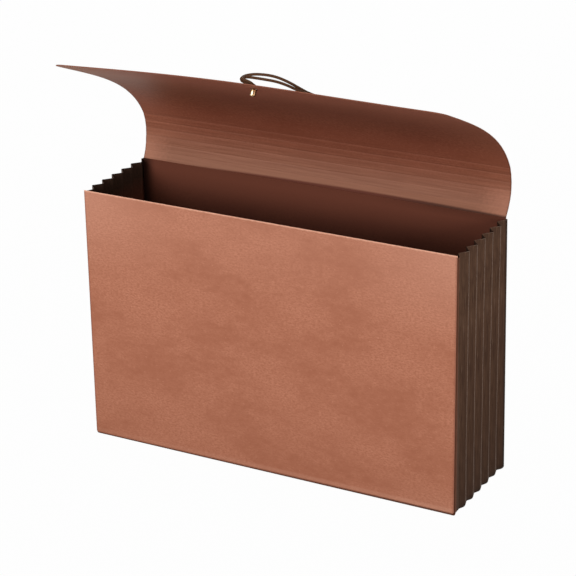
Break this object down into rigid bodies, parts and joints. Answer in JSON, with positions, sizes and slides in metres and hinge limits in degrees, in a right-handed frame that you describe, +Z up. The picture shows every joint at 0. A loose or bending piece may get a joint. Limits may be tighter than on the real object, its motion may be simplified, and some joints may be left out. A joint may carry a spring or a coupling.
{
  "type": "expanding file wallet",
  "caption": "Legal-size expanding file wallet: flat front and back panels, a pleated gusset on three sides, a scored flap that folds over the top, and an elastic cord loop.",
  "frame": {"origin": "on the surface that the wallet stands on, under the middle of its box at rest", "axes": "+X along the width to the right as seen from the front, +Y from the front panel to the back panel, +Z up"},
  "size_m": [0.3876, 0.1548, 0.3927],
  "materials": {
    "panel_paper": "matte fibre paper with fine mottling",
    "gusset_paper": "matte dark brown paper with worn fold lines",
    "cord": "braided cover over elastic",
    "crimp": "polished"
  },
  "bodies": {
    "back": {"back_panel": "panel_paper", "back_tab": "gusset_paper", "back_facing": "panel_paper"},
    "front": {"front_panel": "panel_paper", "front_tab": "gusset_paper"},
    "pleat_1": {"pleat_1_left": "gusset_paper", "pleat_1_bottom": "gusset_paper", "pleat_1_right": "gusset_paper"},
    "pleat_2": {"pleat_2_left": "gusset_paper", "pleat_2_bottom": "gusset_paper", "pleat_2_right": "gusset_paper"},
    "pleat_3": {"pleat_3_left": "gusset_paper", "pleat_3_bottom": "gusset_paper", "pleat_3_right": "gusset_paper"},
    "pleat_4": {"pleat_4_left": "gusset_paper", "pleat_4_bottom": "gusset_paper", "pleat_4_right": "gusset_paper"},
    "pleat_5": {"pleat_5_left": "gusset_paper", "pleat_5_bottom": "gusset_paper", "pleat_5_right": "gusset_paper"},
    "pleat_6": {"pleat_6_left": "gusset_paper", "pleat_6_bottom": "gusset_paper", "pleat_6_right": "gusset_paper"},
    "strip_1": {"flap_strip_1": "panel_paper"},
    "strip_2": {"flap_strip_2": "panel_paper"},
    "strip_3": {"flap_strip_3": "panel_paper"},
    "strip_4": {"flap_strip_4": "panel_paper"},
    "strip_5": {"flap_strip_5": "panel_paper"},
    "strip_6": {"flap_strip_6": "panel_paper"},
    "lid": {"flap_lid": "panel_paper", "cord_crimp": "crimp", "cord_loop": "cord"}
  },
  "joints": [
    {"name": "collapse", "type": "slide", "parent": "back", "child": "front", "axis": [0, 1, 0], "range_m": [0, 0.084], "deforming": ["pleat_1_left", "pleat_1_bottom", "pleat_1_right", "pleat_2_left", "pleat_2_bottom", "pleat_2_right", "pleat_3_left", "pleat_3_bottom", "pleat_3_right", "pleat_4_left", "pleat_4_bottom", "pleat_4_right", "pleat_5_left", "pleat_5_bottom", "pleat_5_right", "pleat_6_left", "pleat_6_bottom", "pleat_6_right"]},
    {"name": "pleat_1_slide", "type": "slide", "parent": "back", "child": "pleat_1", "axis": [0, 1, 0], "range_m": [0, 0.077]},
    {"name": "pleat_2_slide", "type": "slide", "parent": "back", "child": "pleat_2", "axis": [0, 1, 0], "range_m": [0, 0.063]},
    {"name": "pleat_3_slide", "type": "slide", "parent": "back", "child": "pleat_3", "axis": [0, 1, 0], "range_m": [0, 0.049]},
    {"name": "pleat_4_slide", "type": "slide", "parent": "back", "child": "pleat_4", "axis": [0, 1, 0], "range_m": [0, 0.035]},
    {"name": "pleat_5_slide", "type": "slide", "parent": "back", "child": "pleat_5", "axis": [0, 1, 0], "range_m": [0, 0.021]},
    {"name": "pleat_6_slide", "type": "slide", "parent": "back", "child": "pleat_6", "axis": [0, 1, 0], "range_m": [0, 0.007]},
    {"name": "flap_fold", "type": "hinge", "parent": "back", "child": "strip_1", "pos_m": [0, 0.06907, 0.252], "axis": [1, 0, 0], "range_deg": [-110, 37]},
    {"name": "score_1", "type": "hinge", "parent": "strip_1", "child": "strip_2", "pos_m": [0, 0.07263, 0.25884], "axis": [1, 0, 0], "range_deg": [-9.7, 3.7]},
    {"name": "score_2", "type": "hinge", "parent": "strip_2", "child": "strip_3", "pos_m": [0, 0.07536, 0.26604], "axis": [1, 0, 0], "range_deg": [-9.7, 3.7]},
    {"name": "score_3", "type": "hinge", "parent": "strip_3", "child": "strip_4", "pos_m": [0, 0.07684, 0.27359], "axis": [1, 0, 0], "range_deg": [-9.7, 3.7]},
    {"name": "score_4", "type": "hinge", "parent": "strip_4", "child": "strip_5", "pos_m": [0, 0.07703, 0.28129], "axis": [1, 0, 0], "range_deg": [-9.7, 3.7]},
    {"name": "score_5", "type": "hinge", "parent": "strip_5", "child": "strip_6", "pos_m": [0, 0.07592, 0.28891], "axis": [1, 0, 0], "range_deg": [-9.7, 3.7]},
    {"name": "score_6", "type": "hinge", "parent": "strip_6", "child": "lid", "pos_m": [0, 0.07354, 0.29623], "axis": [1, 0, 0], "range_deg": [-9.7, 3.7]}
  ],
  "couplings": [
    {"joint": "pleat_1_slide", "follows": "collapse", "ratio": 0.91667},
    {"joint": "pleat_2_slide", "follows": "collapse", "ratio": 0.75},
    {"joint": "pleat_3_slide", "follows": "collapse", "ratio": 0.58333},
    {"joint": "pleat_4_slide", "follows": "collapse", "ratio": 0.41667},
    {"joint": "pleat_5_slide", "follows": "collapse", "ratio": 0.25},
    {"joint": "pleat_6_slide", "follows": "collapse", "ratio": 0.083333}
  ]
}
